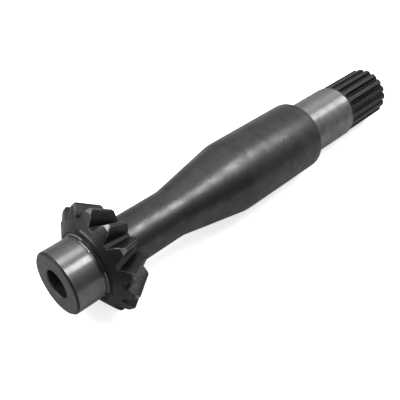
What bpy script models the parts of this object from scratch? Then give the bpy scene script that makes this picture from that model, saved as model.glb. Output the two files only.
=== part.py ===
"""Pinion shaft: bevel pinion, tapered shaft, two ground journals and a spline, all cut from one bar.

The shaft is drawn about its own axis, local +Z, from the nose face at 0 to the splined end.
An empty then lays it down the way it rests: on two neighbouring teeth and the far edge of the barrel.
"""

from math import acos, atan2, cos, pi, radians, sin, tan

import bmesh
import bpy
from mathutils import Matrix, Vector

MM = 0.001

# Nose journal, the ground seat in front of the gear
NOSE_RADIUS = 20.0 * MM
NOSE_LENGTH = 19.3 * MM
NOSE_CHAMFER = 1.1 * MM
SEAT_CHAMFER = 0.6 * MM
RELIEF_DEPTH = 1.5 * MM
RELIEF_BITE = 0.4 * MM
RELIEF_LIP = 0.5 * MM

# Blind hole in the nose face
BORE_RADIUS = 9.0 * MM
BORE_DEPTH = 46.0 * MM
BORE_MOUTH_CHAMFER = 0.7 * MM
DRILL_POINT_ANGLE = radians(118.0)

# Straight bevel teeth
TEETH = 14
MODULE = 4.6 * MM
PRESSURE_ANGLE = radians(25.0)
PROFILE_SHIFT = 0.1
BACK_CONE_ANGLE = radians(33.7)
ADDENDUM = 5.2 * MM
DEDENDUM = 4.4 * MM
ROOT_FILLET = 1.0 * MM
HEEL_TIP_CHAMFER = 2.2 * MM
TOE_TIP_CHAMFER = 0.6 * MM
PITCH_POINT_Z = 26.2 * MM
APEX_Z = 86.0 * MM
TOE_Z = 44.2 * MM
HUB_RADIUS = 23.4 * MM
HUB_EDGE = 1.2 * MM

# Neck, taper and barrel
NECK_RADIUS = 16.0 * MM
NECK_SHOULDER_RADIUS = 18.4 * MM
NECK_END_Z = 85.4 * MM
BARREL_START_Z = 137.6 * MM
TAPER_BLEND_RADIUS = 35.0 * MM
BARREL_RADIUS = 25.5 * MM
BARREL_END_Z = 213.0 * MM
BARREL_EDGE_RADIUS = 3.6 * MM

# Rear journal and spline
JOURNAL_RADIUS = 20.0 * MM
JOURNAL_END_Z = 259.2 * MM
JOURNAL_CHAMFER = 0.5 * MM
CORNER_FILLET = 0.8 * MM
SPLINE_TEETH = 18
SPLINE_TIP_RADIUS = 19.4 * MM
SPLINE_DEPTH = 2.1 * MM
SPLINE_GROOVE_SHARE = 0.56
SPLINE_ROOT_SHARE = 0.26
SPLINE_RUN_OUT = 5.0 * MM
SPLINE_START_GAP = 1.4 * MM
SPLINE_END_CHAMFER = 1.3 * MM
TOTAL_LENGTH = 306.0 * MM

TURNED_STEPS = 72
FLANK_POINTS = 6
OVERCUT = 2.0 * MM

PITCH_RADIUS = MODULE * TEETH / 2
TOOTH_PITCH = 2 * pi / TEETH
SPLINE_PITCH = 2 * pi / SPLINE_TEETH
HEEL_TIP_RADIUS = PITCH_RADIUS + ADDENDUM * cos(BACK_CONE_ANGLE)
HEEL_ROOT_RADIUS = PITCH_RADIUS - DEDENDUM * cos(BACK_CONE_ANGLE)


def clear_scene():
    """Remove what the startup scene holds."""
    for obj in list(bpy.data.objects):
        bpy.data.objects.remove(obj, do_unlink=True)


def new_collection(name):
    """Make a collection under the scene's own."""
    collection = bpy.data.collections.new(name)
    bpy.context.scene.collection.children.link(collection)
    return collection


def steel(name, colour, roughness):
    """Make a plain metal material."""
    material = bpy.data.materials.new(name)
    material.use_nodes = True
    shader = material.node_tree.nodes["Principled BSDF"]
    shader.inputs["Base Color"].default_value = (*colour, 1.0)
    shader.inputs["Metallic"].default_value = 1.0
    shader.inputs["Roughness"].default_value = roughness
    return material


def arc(centre_r, centre_z, radius, start, end, count):
    """Points of an arc in the (r, z) plane, from one angle to another, both ends included."""
    angles = (start + (end - start) * i / count for i in range(count + 1))
    return [(centre_r + radius * cos(a), centre_z + radius * sin(a)) for a in angles]


def back_cone_z(r):
    """Height of the gear's front cone at a radius."""
    return PITCH_POINT_Z + (r - PITCH_RADIUS) * tan(BACK_CONE_ANGLE)


def tip_cone_radius(z):
    """Radius of the cone over the tooth tips, which narrows towards the apex."""
    return HEEL_TIP_RADIUS * (APEX_Z - z) / (APEX_Z - back_cone_z(HEEL_TIP_RADIUS))


def tooth_half_angle(r):
    """Half the angle that one tooth takes up at a radius on the front cone, from an involute flank."""
    rolled_pitch = PITCH_RADIUS / cos(BACK_CONE_ANGLE)
    rolled_base = rolled_pitch * cos(PRESSURE_ANGLE)
    rolled = r / cos(BACK_CONE_ANGLE)
    at_r = acos(min(1.0, rolled_base / rolled))
    at_pitch = (pi / 2 + 2 * PROFILE_SHIFT * tan(PRESSURE_ANGLE)) / TEETH
    narrowing = (tan(at_r) - at_r) - (tan(PRESSURE_ANGLE) - PRESSURE_ANGLE)
    return at_pitch - narrowing / cos(BACK_CONE_ANGLE)


def splined_end_profile():
    """Far end face, spline blank and rear journal, from the axis outwards and down."""
    points = [(0.0, TOTAL_LENGTH)]
    points.append((SPLINE_TIP_RADIUS - SPLINE_END_CHAMFER, TOTAL_LENGTH))
    points.append((SPLINE_TIP_RADIUS, TOTAL_LENGTH - SPLINE_END_CHAMFER))
    points.append((SPLINE_TIP_RADIUS, JOURNAL_END_Z))
    points.append((JOURNAL_RADIUS - JOURNAL_CHAMFER, JOURNAL_END_Z))
    points.append((JOURNAL_RADIUS, JOURNAL_END_Z - JOURNAL_CHAMFER))
    points += arc(
        JOURNAL_RADIUS + CORNER_FILLET, BARREL_END_Z + CORNER_FILLET, CORNER_FILLET, pi, 3 * pi / 2, 3
    )
    return points


def barrel_profile():
    """Barrel with its rounded far edge, then the blended taper down to the neck."""
    edge = BARREL_EDGE_RADIUS
    points = arc(BARREL_RADIUS - edge, BARREL_END_Z - edge, edge, pi / 2, 0.0, 5)
    blend = TAPER_BLEND_RADIUS
    slope = atan2(BARREL_RADIUS - NECK_RADIUS, BARREL_START_Z - NECK_END_Z)
    tangent = blend * tan(slope / 2)
    points += arc(BARREL_RADIUS - blend, BARREL_START_Z + tangent, blend, 0.0, -slope, 3)
    points += arc(NECK_RADIUS + blend, NECK_END_Z - tangent, blend, pi - slope, pi, 3)
    return points


def gear_blank_profile():
    """Neck fillet, toe face, tip cone, heel chamfer and front cone of the gear."""
    fillet = NECK_SHOULDER_RADIUS - NECK_RADIUS
    points = arc(NECK_SHOULDER_RADIUS, TOE_Z + fillet, fillet, pi, 3 * pi / 2, 4)
    toe_tip = tip_cone_radius(TOE_Z)
    points.append((toe_tip - TOE_TIP_CHAMFER, TOE_Z))
    points.append((tip_cone_radius(TOE_Z - TOE_TIP_CHAMFER), TOE_Z - TOE_TIP_CHAMFER))
    upper_z = back_cone_z(HEEL_TIP_RADIUS) + 0.6 * HEEL_TIP_CHAMFER
    lower_r = HEEL_TIP_RADIUS - HEEL_TIP_CHAMFER * cos(BACK_CONE_ANGLE)
    points.append((tip_cone_radius(upper_z), upper_z))
    points.append((lower_r, back_cone_z(lower_r)))
    hub_outer = HUB_RADIUS + HUB_EDGE * cos(BACK_CONE_ANGLE)
    points.append((hub_outer, back_cone_z(hub_outer)))
    return points


def nose_profile():
    """Hub shoulder, relief groove, nose journal and the blind hole, ending on the axis."""
    shoulder_z = back_cone_z(HUB_RADIUS)
    relief_radius = NOSE_RADIUS - RELIEF_DEPTH
    points = [(HUB_RADIUS - HUB_EDGE, shoulder_z)]
    points.append((NOSE_RADIUS + RELIEF_LIP, shoulder_z))
    points.append((relief_radius, shoulder_z + RELIEF_BITE))
    points.append((relief_radius, NOSE_LENGTH))
    points.append((NOSE_RADIUS - SEAT_CHAMFER, NOSE_LENGTH))
    points.append((NOSE_RADIUS, NOSE_LENGTH - SEAT_CHAMFER))
    points.append((NOSE_RADIUS, NOSE_CHAMFER))
    points.append((NOSE_RADIUS - NOSE_CHAMFER, 0.0))
    points.append((BORE_RADIUS + BORE_MOUTH_CHAMFER, 0.0))
    points.append((BORE_RADIUS, BORE_MOUTH_CHAMFER))
    points.append((BORE_RADIUS, BORE_DEPTH))
    points.append((0.0, BORE_DEPTH + BORE_RADIUS / tan(DRILL_POINT_ANGLE / 2)))
    return points


def turned_blank(collection):
    """Revolve the whole profile about the shaft's axis."""
    points = splined_end_profile() + barrel_profile() + gear_blank_profile() + nose_profile()
    mesh = bpy.data.meshes.new("pinion_shaft")
    edges = [(i, i + 1) for i in range(len(points) - 1)]
    mesh.from_pydata([(r, 0.0, z) for r, z in points], edges, [])
    shaft = bpy.data.objects.new("pinion_shaft", mesh)
    collection.objects.link(shaft)
    turn = shaft.modifiers.new("turned", "SCREW")
    turn.steps = TURNED_STEPS
    turn.render_steps = TURNED_STEPS
    turn.use_merge_vertices = True
    turn.merge_threshold = 0.00001
    return shaft


def space_outline():
    """Outline of one tooth space as (radius on the front cone, angle), from flank round to flank."""
    tip = HEEL_TIP_RADIUS
    fillet_top = HEEL_ROOT_RADIUS + ROOT_FILLET
    fillet_angle = TOOTH_PITCH / 2 - tooth_half_angle(fillet_top)
    side = [(tip + OVERCUT, TOOTH_PITCH / 2 - tooth_half_angle(tip))]
    for i in range(FLANK_POINTS):
        r = tip + (fillet_top - tip) * i / (FLANK_POINTS - 1)
        side.append((r, TOOTH_PITCH / 2 - tooth_half_angle(r)))
    for step in (1, 2, 3):
        turn = step * pi / 6
        r = fillet_top - ROOT_FILLET * sin(turn)
        inset = ROOT_FILLET * (1 - cos(turn))
        side.append((r, fillet_angle - inset / HEEL_ROOT_RADIUS))
    return side + [(r, -angle) for r, angle in reversed(side)]


def swept_cutter(bm, outline, moves):
    """Fill an outline and extrude it once for each function in moves, which places each new point."""
    face = bm.faces.new([bm.verts.new(point) for point in outline])
    inner = []
    for move in moves:
        grown = bmesh.ops.extrude_face_region(bm, geom=[face])["geom"]
        for vert in (item for item in grown if isinstance(item, bmesh.types.BMVert)):
            vert.co = move(vert.co)
        face = next(item for item in grown if isinstance(item, bmesh.types.BMFace))
        inner.append(face)
    bmesh.ops.delete(bm, geom=inner[:-1], context="FACES_ONLY")


def ring_cutter(name, outline, moves, count, first_angle, parent, collection):
    """Make one cutter shape and repeat it round the shaft's axis."""
    one = bmesh.new()
    swept_cutter(one, outline, moves)
    bmesh.ops.recalc_face_normals(one, faces=one.faces)
    single = bpy.data.meshes.new(name)
    one.to_mesh(single)
    one.free()
    ring = bmesh.new()
    for i in range(count):
        single.transform(Matrix.Rotation(first_angle if i == 0 else 2 * pi / count, 4, "Z"))
        ring.from_mesh(single)
    ring.to_mesh(single)
    ring.free()
    cutter = bpy.data.objects.new(name, single)
    cutter.hide_render = True
    cutter.display_type = "WIRE"
    cutter.parent = parent
    collection.objects.link(cutter)
    return cutter


def tooth_space_cutter(parent, collection):
    """Tapered cutters for the spaces between the bevel teeth, all pointing at the apex."""
    apex = Vector((0.0, 0.0, APEX_Z))
    start_z = back_cone_z(HEEL_ROOT_RADIUS) - 2 * OVERCUT
    end_z = TOE_Z + 2 * OVERCUT
    outline = []
    for r, angle in space_outline():
        scale = (APEX_Z - start_z) / (APEX_Z - back_cone_z(r))
        outline.append((r * scale * cos(angle), r * scale * sin(angle), start_z))
    shrink = (APEX_Z - end_z) / (APEX_Z - start_z)
    moves = [lambda point: apex + (point - apex) * shrink]
    return ring_cutter("tooth_space_cutter", outline, moves, TEETH, 0.0, parent, collection)


def spline_groove_cutter(parent, collection):
    """Cutters for the grooves of the spline, which rise out of the metal just before the journal."""
    root = SPLINE_TIP_RADIUS - SPLINE_DEPTH
    top = SPLINE_TIP_RADIUS + OVERCUT / 2
    half_top = SPLINE_PITCH * SPLINE_GROOVE_SHARE / 2
    half_root = SPLINE_PITCH * SPLINE_ROOT_SHARE / 2
    spread = (half_top - half_root) / SPLINE_DEPTH
    side = [(top, half_top + spread * OVERCUT / 2)]
    for step in range(4):
        rise = SPLINE_DEPTH * (1 - step / 4)
        side.append((root + rise, half_root + spread * rise))
    side.append((root + 0.12 * SPLINE_DEPTH, half_root * 0.9))
    side.append((root, half_root * 0.45))
    outline_polar = side + [(r, -angle) for r, angle in reversed(side)]
    end_z = TOTAL_LENGTH + OVERCUT
    outline = [(r * cos(a), r * sin(a), end_z) for r, a in outline_polar]
    run_out_end = JOURNAL_END_Z + SPLINE_START_GAP
    run_out_start = run_out_end + SPLINE_RUN_OUT
    halfway = (run_out_start + run_out_end) / 2
    moves = [
        lambda point: Vector((point.x, point.y, run_out_start)),
        lambda point: Vector((point.x + 0.3 * SPLINE_DEPTH, point.y, halfway)),
        lambda point: Vector((point.x + 0.75 * SPLINE_DEPTH, point.y, run_out_end)),
    ]
    return ring_cutter(
        "spline_groove_cutter", outline, moves, SPLINE_TEETH, 0.0, parent, collection
    )


def cut(target, cutter):
    """Subtract a cutter from the shaft."""
    boolean = target.modifiers.new(cutter.name, "BOOLEAN")
    boolean.operation = "DIFFERENCE"
    boolean.solver = "EXACT"
    boolean.object = cutter


def make_real(obj):
    """Turn the object's modifiers into its own mesh, smooth on round faces and sharp at corners."""
    graph = bpy.context.evaluated_depsgraph_get()
    mesh = bpy.data.meshes.new_from_object(obj.evaluated_get(graph))
    mesh.name = obj.name
    obj.modifiers.clear()
    obj.data = mesh
    mesh.shade_smooth()
    mesh.set_sharp_from_angle(angle=radians(28.0))


def finish_ground_seats(shaft):
    """Give the ground journals a brighter metal than the blackened body."""
    body = steel("blackened_steel", (0.075, 0.075, 0.08), 0.42)
    ground = steel("ground_steel", (0.42, 0.42, 0.43), 0.26)
    shaft.data.materials.clear()
    shaft.data.materials.append(body)
    shaft.data.materials.append(ground)
    for face in shaft.data.polygons:
        z = face.center.z
        out = face.center.xy.length
        on_nose = z < NOSE_LENGTH and out > BORE_RADIUS + BORE_MOUTH_CHAMFER
        on_journal = BARREL_END_Z < z < JOURNAL_END_Z
        face.material_index = 1 if on_nose or on_journal else 0


def rest_tilt():
    """Angle by which the axis drops towards the spline, when teeth and barrel edge share one floor."""
    heel_z = back_cone_z(HEEL_TIP_RADIUS) + 0.6 * HEEL_TIP_CHAMFER
    corner_angle = TOOTH_PITCH / 2 - tooth_half_angle(HEEL_TIP_RADIUS)
    gear_drop = tip_cone_radius(heel_z) * cos(corner_angle)
    edge = BARREL_EDGE_RADIUS
    tilt = 0.0
    for _ in range(8):
        touch_z = BARREL_END_Z - edge + edge * sin(tilt)
        touch_drop = BARREL_RADIUS - edge + edge * cos(tilt)
        tilt = (gear_drop - touch_drop) / (touch_z - heel_z)
    return tilt


def lay_down(carrier, shaft):
    """Turn the axis to +X, tilt it as it rests, and put the origin under the middle of the shaft."""
    tilt = rest_tilt()
    along = Vector((cos(tilt), 0.0, -sin(tilt)))
    up = Vector((sin(tilt), 0.0, cos(tilt)))
    side = along.cross(up)
    turn = Matrix((up, side, along)).transposed()
    places = [turn @ vert.co for vert in shaft.data.vertices]
    low = [min(place[i] for place in places) for i in range(3)]
    high = [max(place[i] for place in places) for i in range(3)]
    carrier.rotation_mode = "QUATERNION"
    carrier.rotation_quaternion = turn.to_quaternion()
    carrier.location = (-(low[0] + high[0]) / 2, -(low[1] + high[1]) / 2, -low[2])


def main():
    clear_scene()
    parts = new_collection("pinion_shaft")
    cutters = new_collection("cutters")
    axis = bpy.data.objects.new("shaft_axis", None)
    parts.objects.link(axis)
    shaft = turned_blank(parts)
    shaft.parent = axis
    cut(shaft, tooth_space_cutter(axis, cutters))
    cut(shaft, spline_groove_cutter(axis, cutters))
    make_real(shaft)
    finish_ground_seats(shaft)
    lay_down(axis, shaft)


if __name__ == "__main__":
    main()
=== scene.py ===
"""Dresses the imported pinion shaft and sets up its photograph.

The shaft is one steel forging that was turned, cut, hardened, phosphated and then ground on its two seats.
Each length of it is a class here, with its sizes in millimetres along the shaft's own axis from the nose
face. A length says how the skin runs from ring to ring and which finish each band has. The shaft joins the
rings into one closed skin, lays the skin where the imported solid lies, and stands for that solid.
"""

import logging
from dataclasses import dataclass, field, replace
from enum import Enum
from math import acos, atan2, cos, pi, radians, sin, tan

import bpy
from mathutils import Matrix, Vector

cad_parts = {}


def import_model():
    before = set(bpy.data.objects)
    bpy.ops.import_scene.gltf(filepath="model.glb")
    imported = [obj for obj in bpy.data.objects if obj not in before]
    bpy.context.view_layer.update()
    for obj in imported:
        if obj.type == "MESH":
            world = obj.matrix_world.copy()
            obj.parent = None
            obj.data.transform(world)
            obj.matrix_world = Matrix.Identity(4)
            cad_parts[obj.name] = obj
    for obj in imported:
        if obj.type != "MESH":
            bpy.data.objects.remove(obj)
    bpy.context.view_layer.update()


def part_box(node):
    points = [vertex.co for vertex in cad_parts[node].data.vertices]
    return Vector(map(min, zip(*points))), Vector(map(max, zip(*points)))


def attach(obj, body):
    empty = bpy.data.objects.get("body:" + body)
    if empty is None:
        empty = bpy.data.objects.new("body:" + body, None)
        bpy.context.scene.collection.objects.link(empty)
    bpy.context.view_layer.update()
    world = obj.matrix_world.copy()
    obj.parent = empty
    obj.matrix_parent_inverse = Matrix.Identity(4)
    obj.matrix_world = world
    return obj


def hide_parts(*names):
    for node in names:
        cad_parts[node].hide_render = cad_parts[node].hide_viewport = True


LOG = logging.getLogger("pinion_shaft")

MM = 0.001
TEETH = 14
LOBES = 18
COLUMNS = 504  # points in each ring: 36 for each tooth and 28 for each spline lobe
SHARP_CORNER = radians(30.0)  # an edge with more turn than this is shaded as a corner
SHAFT_PLACE = "shaft_place"  # mesh attribute: each point's place in the shaft's own axes, in metres
ACROSS_LAY = "across_lay"  # mesh attribute: the direction across the tool marks, which is the shaft's own
STAIN_BLUR = 0.22  # how softly a stain's edge fades, in values of the noise that draws it
MARK_SQUEEZE = 0.02  # width of a tool mark over its length
MARK_DARKEST = 0.35  # brightness of the deepest tool mark, where clean steel is 1
WHITE = "#FFFFFF"


def linear(hex_colour: str) -> tuple[float, float, float, float]:
    """Turn an sRGB hex colour into the linear values that a shader takes.

    Args:
        hex_colour: Six hex digits after a #.

    Returns:
        Red, green and blue, all linear, and an alpha of 1.
    """
    digits = hex_colour.lstrip("#")
    channels = [int(digits[i : i + 2], 16) / 255 for i in (0, 2, 4)]
    red, green, blue = (c / 12.92 if c <= 0.04045 else ((c + 0.055) / 1.055) ** 2.4 for c in channels)
    return red, green, blue, 1.0


def per_metre(pattern_mm: float) -> float:
    """Scale of a texture, in repeats to the metre, that draws a pattern of this size in millimetres."""
    return 1.0 / (pattern_mm * MM)


def add_node(
    tree: bpy.types.NodeTree, kind: str, settings: dict | None = None, links: dict | None = None
) -> bpy.types.Node:
    """Add one node with its settings and its links.

    Args:
        tree: The node tree that takes it.
        kind: Blender's name for the kind of node.
        settings: A value for each attribute or input socket, by name or by the socket's number.
        links: The output socket that feeds each input, by the input's name or number.

    Returns:
        The new node.
    """
    node = tree.nodes.new(kind)
    for name, value in (settings or {}).items():
        if isinstance(name, str) and hasattr(node, name):
            setattr(node, name, value)
        else:
            node.inputs[name].default_value = value
    for name, source in (links or {}).items():
        tree.links.new(source, node.inputs[name])
    return node


@dataclass(frozen=True)
class SideShade:
    """Painted shade on one stretch and one side of the shaft.

    Attributes:
        colour: The painted shade's colour, which the steel's colour turns to under it, as sRGB hex.
        side_deg: Its middle, in degrees from the upper side towards the camera.
        half_deg: Degrees from there at which it ends.
        from_mm: Where along the axis it starts; before the nose face, it covers the whole length.
        full_mm: Where along the axis it is full.
    """

    colour: str
    side_deg: float
    half_deg: float
    from_mm: float = -2.0
    full_mm: float = -1.0

    def cover(self, tree: bpy.types.NodeTree, place: bpy.types.NodeSocket) -> bpy.types.NodeSocket:
        """Work out how much of the painted shade lies at a place.

        Args:
            tree: The material's nodes.
            place: Where on the shaft.

        Returns:
            A socket from 0 to 1.
        """
        side = radians(self.side_deg)
        across = add_node(
            tree, "ShaderNodeVectorMath", {"operation": "MULTIPLY", 1: (1.0, 1.0, 0.0)}, {0: place}
        ).outputs["Vector"]
        outward = add_node(
            tree, "ShaderNodeVectorMath", {"operation": "NORMALIZE"}, {0: across}
        ).outputs["Vector"]
        facing = add_node(
            tree,
            "ShaderNodeVectorMath",
            {"operation": "DOT_PRODUCT", 1: (cos(side), sin(side), 0.0)},
            {0: outward},
        ).outputs["Value"]
        edge, inner = (cos(radians(self.half_deg * share)) for share in (1.0, 0.5))
        on_side = add_node(
            tree, "ShaderNodeMapRange", {"interpolation_type": "SMOOTHSTEP", 1: edge, 2: inner}, {0: facing}
        ).outputs[0]
        along = add_node(tree, "ShaderNodeSeparateXYZ", None, {0: place}).outputs["Z"]
        reached = add_node(
            tree,
            "ShaderNodeMapRange",
            {"interpolation_type": "SMOOTHSTEP", 1: self.from_mm * MM, 2: self.full_mm * MM},
            {0: along},
        ).outputs[0]
        return add_node(
            tree, "ShaderNodeMath", {"operation": "MULTIPLY"}, {0: on_side, 1: reached}
        ).outputs[0]


@dataclass(frozen=True)
class SteelFinish:
    """A finish of the shaft's steel, as the tool or the bath that made it left the surface; some finishes
    carry painted highlights and some painted shade.

    Attributes:
        name: What the surface is.
        colour: Main colour as sRGB hex.
        stain: Colour of the darker or lighter patches, as sRGB hex.
        roughness: Middle of the roughness; the patches move it up and down.
        roughness_spread: How far the patches move it.
        patch_mm: Size of the stains.
        stain_share: How much of the surface the stains take, from 0 to 1.
        lay_mm: Spacing of the tool marks that run round the shaft, as drawn.
        lay_depth_mm: Depth of those marks.
        lay_contrast: How much the marks change the colour.
        grain_mm: Size of the fine grain, from the phosphate's crystals or the grinding.
        grain_depth_mm: Depth of the grain.
        lay_stretch: How far fine marks round the shaft draw a highlight out along it, from 0 to 1.
        metallic: Share of bare metal; dirt takes the rest.
        side_shade: Painted shade over part of it.
    """

    name: str
    colour: str
    stain: str
    roughness: float
    roughness_spread: float = 0.05
    patch_mm: float = 9.0
    stain_share: float = 0.5
    lay_mm: float = 0.9
    lay_depth_mm: float = 0.004
    lay_contrast: float = 0.25
    grain_mm: float = 0.6
    grain_depth_mm: float = 0.004
    lay_stretch: float = 0.0
    metallic: float = 1.0
    side_shade: SideShade | None = None

    def build(self) -> bpy.types.Material:
        """Make the material.

        Returns:
            The material, with stains, tool marks and grain worked out from the shaft's own axis.
        """
        material = bpy.data.materials.new(self.name)
        material.use_nodes = True
        tree = material.node_tree
        shader = tree.nodes["Principled BSDF"]
        shader.inputs["Metallic"].default_value = self.metallic
        place = add_node(tree, "ShaderNodeAttribute", {"attribute_name": SHAFT_PLACE}).outputs["Vector"]
        stains = self._stains(tree, place)
        marks = self._tool_marks(tree, place)
        colour = add_node(
            tree,
            "ShaderNodeMix",
            {"data_type": "RGBA", 6: linear(self.colour), 7: linear(self.stain)},
            {0: stains},
        ).outputs[2]
        if self.side_shade:
            colour = add_node(
                tree,
                "ShaderNodeMix",
                {"data_type": "RGBA", 7: linear(self.side_shade.colour)},
                {0: self.side_shade.cover(tree, place), 6: colour},
            ).outputs[2]
        lined = add_node(
            tree,
            "ShaderNodeMix",
            {"data_type": "RGBA", "blend_type": "MULTIPLY", 0: self.lay_contrast},
            {6: colour, 7: marks},
        ).outputs[2]
        tree.links.new(lined, shader.inputs["Base Color"])
        rough = add_node(
            tree,
            "ShaderNodeMapRange",
            {3: self.roughness - self.roughness_spread, 4: self.roughness + self.roughness_spread},
            {0: stains},
        ).outputs[0]
        tree.links.new(rough, shader.inputs["Roughness"])
        tree.links.new(self._relief(tree, place, marks), shader.inputs["Normal"])
        if self.lay_stretch:
            shader.inputs["Anisotropic"].default_value = self.lay_stretch
            across = add_node(tree, "ShaderNodeAttribute", {"attribute_name": ACROSS_LAY}).outputs["Vector"]
            tree.links.new(across, shader.inputs["Tangent"])
        return material

    def _stains(self, tree: bpy.types.NodeTree, place: bpy.types.NodeSocket) -> bpy.types.NodeSocket:
        """Draw the patches: broad ones, broken up by smaller ones.

        Args:
            tree: The material's nodes.
            place: Where on the shaft.

        Returns:
            A socket from 0, the main colour, to 1, the stain.
        """
        broad = add_node(
            tree,
            "ShaderNodeTexNoise",
            {"Scale": per_metre(self.patch_mm), "Detail": 4.0, "Roughness": 0.6, "Distortion": 0.4},
            {"Vector": place},
        ).outputs[0]
        edge = 1.0 - self.stain_share
        return add_node(
            tree,
            "ShaderNodeMapRange",
            {"interpolation_type": "SMOOTHSTEP", 1: edge - STAIN_BLUR, 2: edge + STAIN_BLUR},
            {0: broad},
        ).outputs[0]

    def _tool_marks(self, tree: bpy.types.NodeTree, place: bpy.types.NodeSocket) -> bpy.types.NodeSocket:
        """Draw the lines that turning or grinding leaves round the shaft.

        Noise is squeezed along the axis and drawn out round it, so each line is long and none is quite alike.

        Args:
            tree: The material's nodes.
            place: Where on the shaft.

        Returns:
            A grey socket, dark in the marks.
        """
        along = per_metre(self.lay_mm)
        stretched = add_node(
            tree,
            "ShaderNodeMapping",
            {"Scale": (along * MARK_SQUEEZE, along * MARK_SQUEEZE, along)},
            {"Vector": place},
        ).outputs[0]
        lines = add_node(
            tree,
            "ShaderNodeTexNoise",
            {"Scale": 1.0, "Detail": 3.0, "Roughness": 0.7},
            {"Vector": stretched},
        ).outputs[0]
        return add_node(
            tree, "ShaderNodeMapRange", {1: 0.3, 2: 0.7, 3: MARK_DARKEST, 4: 1.0}, {0: lines}
        ).outputs[0]

    def _relief(
        self, tree: bpy.types.NodeTree, place: bpy.types.NodeSocket, marks: bpy.types.NodeSocket
    ) -> bpy.types.NodeSocket:
        """Raise the grain and the tool marks.

        Args:
            tree: The material's nodes.
            place: Where on the shaft.
            marks: The tool marks.

        Returns:
            The bumped normal.
        """
        grain = add_node(
            tree,
            "ShaderNodeTexNoise",
            {"Scale": per_metre(self.grain_mm), "Detail": 2.0},
            {"Vector": place},
        ).outputs[0]
        grained = add_node(
            tree, "ShaderNodeBump", {"Strength": 1.0, "Distance": self.grain_depth_mm * MM}, {"Height": grain}
        ).outputs[0]
        return add_node(
            tree,
            "ShaderNodeBump",
            {"Strength": 1.0, "Distance": self.lay_depth_mm * MM},
            {"Height": marks, "Normal": grained},
        ).outputs[0]


# Each surface is the same alloy steel. What differs is how it was last worked, and so its shade and gloss,
# and where highlights or shade are painted into its colour.
# Manganese phosphate under oil: dark grey, half matt, with faint cloudy patches. Its crystals are too fine to
# show, so they are drawn a millimetre across, coarse enough to break the highlights into sparkle.
PHOSPHATED_BODY = SteelFinish(
    "manganese_phosphated_steel", "#585858", "#484848", 0.32,
    lay_contrast=0.15, grain_mm=1.0, grain_depth_mm=0.075,
)
# Cylindrical grinding: bright, smooth along the wheel's marks, so a lamp is drawn out into a long soft
# streak. Near the gear, painted shade darkens the nose seat on the streak's side.
GROUND_SEAT = SteelFinish(
    "cylindrically_ground_steel", "#828282", "#747474", 0.335,
    stain_share=0.45, lay_mm=0.5, lay_depth_mm=0.0015, grain_mm=0.8, lay_stretch=0.9,
    side_shade=SideShade("#505050", side_deg=22.0, half_deg=46.0, from_mm=16.6, full_mm=18.5),
)
# The rear seat was ground the same way. Its finish is a lighter copy of the nose seat's, painted light,
# without the painted shade.
LIGHTER_COPY_GROUND_SEAT = replace(
    GROUND_SEAT, name="lighter_copy_ground_steel", colour="#969696", stain="#7E7E7E", roughness=0.36,
    roughness_spread=0.06, lay_contrast=0.3, grain_depth_mm=0.005, side_shade=None,
)
# A painted highlight: a bright line on the top arc of the nose seat's end.
PAINTED_SEAT_END_HIGHLIGHT = SteelFinish("painted_highlight_steel", "#C0C0C0", "#909090", 0.3, patch_mm=3.0)
# Facing on the lathe: mid grey and even, with a film of oil and a few dull smudges.
FACED_END = SteelFinish(
    "faced_and_oiled_steel", "#515151", "#454545", 0.36,
    roughness_spread=0.04, patch_mm=7.0, lay_mm=0.6, lay_depth_mm=0.0, lay_contrast=0.1, grain_mm=0.5,
)
# The turned chamfer of the nose kept its phosphate: a dark line between two bright faces.
DARK_CHAMFER = SteelFinish("phosphated_chamfer_steel", "#363636", "#2C2C2C", 0.4)
# Painted shade, nearly black: in the nose's undercut and on its lip, on the shoulder's flat and part of the
# hub's edge, and on the barrel's end face and its corner with the rear seat.
PAINTED_RECESS_SHADE = SteelFinish("painted_shade_steel", "#343434", "#2A2A2A", 0.5)
# Painted highlights on two arcs of the lip in front of the hub's shoulder: thin lighter lines by the
# undercut.
PAINTED_LIP_HIGHLIGHT = SteelFinish("lip_highlight_steel", "#747474", "#565656", 0.38, patch_mm=4.0)
# The hub's rim carries a painted highlight on top, fading under painted shade towards the camera's side.
PAINTED_RIM_HIGHLIGHT_AND_SHADE = replace(
    PAINTED_LIP_HIGHLIGHT, name="rim_highlight_and_shade_steel", colour="#7E7E7E", stain="#5C5C5C",
    side_shade=SideShade("#303030", side_deg=62.0, half_deg=68.0),
)
# Turned front cone of the gear, phosphated: dark, lighter where it faces a lamp, with painted shade on the
# side towards the camera.
TURNED_CONE = SteelFinish(
    "phosphated_turned_steel", "#404040", "#343434", 0.36,
    patch_mm=6.0, lay_depth_mm=0.002, lay_contrast=0.1, grain_depth_mm=0.006,
    side_shade=SideShade("#2C2C2C", side_deg=43.0, half_deg=36.0),
)
# Tooth flanks, planed and phosphated: dark and matt, with no lay that shows.
PHOSPHATED_TOOTH = SteelFinish(
    "phosphated_gear_steel", "#3E3E3E", "#343434", 0.45,
    patch_mm=5.0, lay_depth_mm=0.0, lay_contrast=0.0, grain_mm=0.5, grain_depth_mm=0.006,
)
# Bottoms of the tooth spaces: a lighter bar in each space, a painted highlight.
PAINTED_ROOT_HIGHLIGHT = replace(
    PHOSPHATED_TOOTH, name="root_highlight_steel", colour="#4E4E4E", stain="#444444", roughness=0.36,
    patch_mm=4.0, grain_depth_mm=0.005,
)
# Edges rubbed through the phosphate in handling, made lighter still as a painted highlight: bright in places
# and dull between them.
BARE_EDGE_AND_GLINT = replace(
    PHOSPHATED_TOOTH, name="rubbed_and_glint_steel", colour="#7A7A7A", stain="#484848", roughness=0.34,
    roughness_spread=0.06, patch_mm=3.0, grain_mm=0.4, grain_depth_mm=0.004,
)
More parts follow.
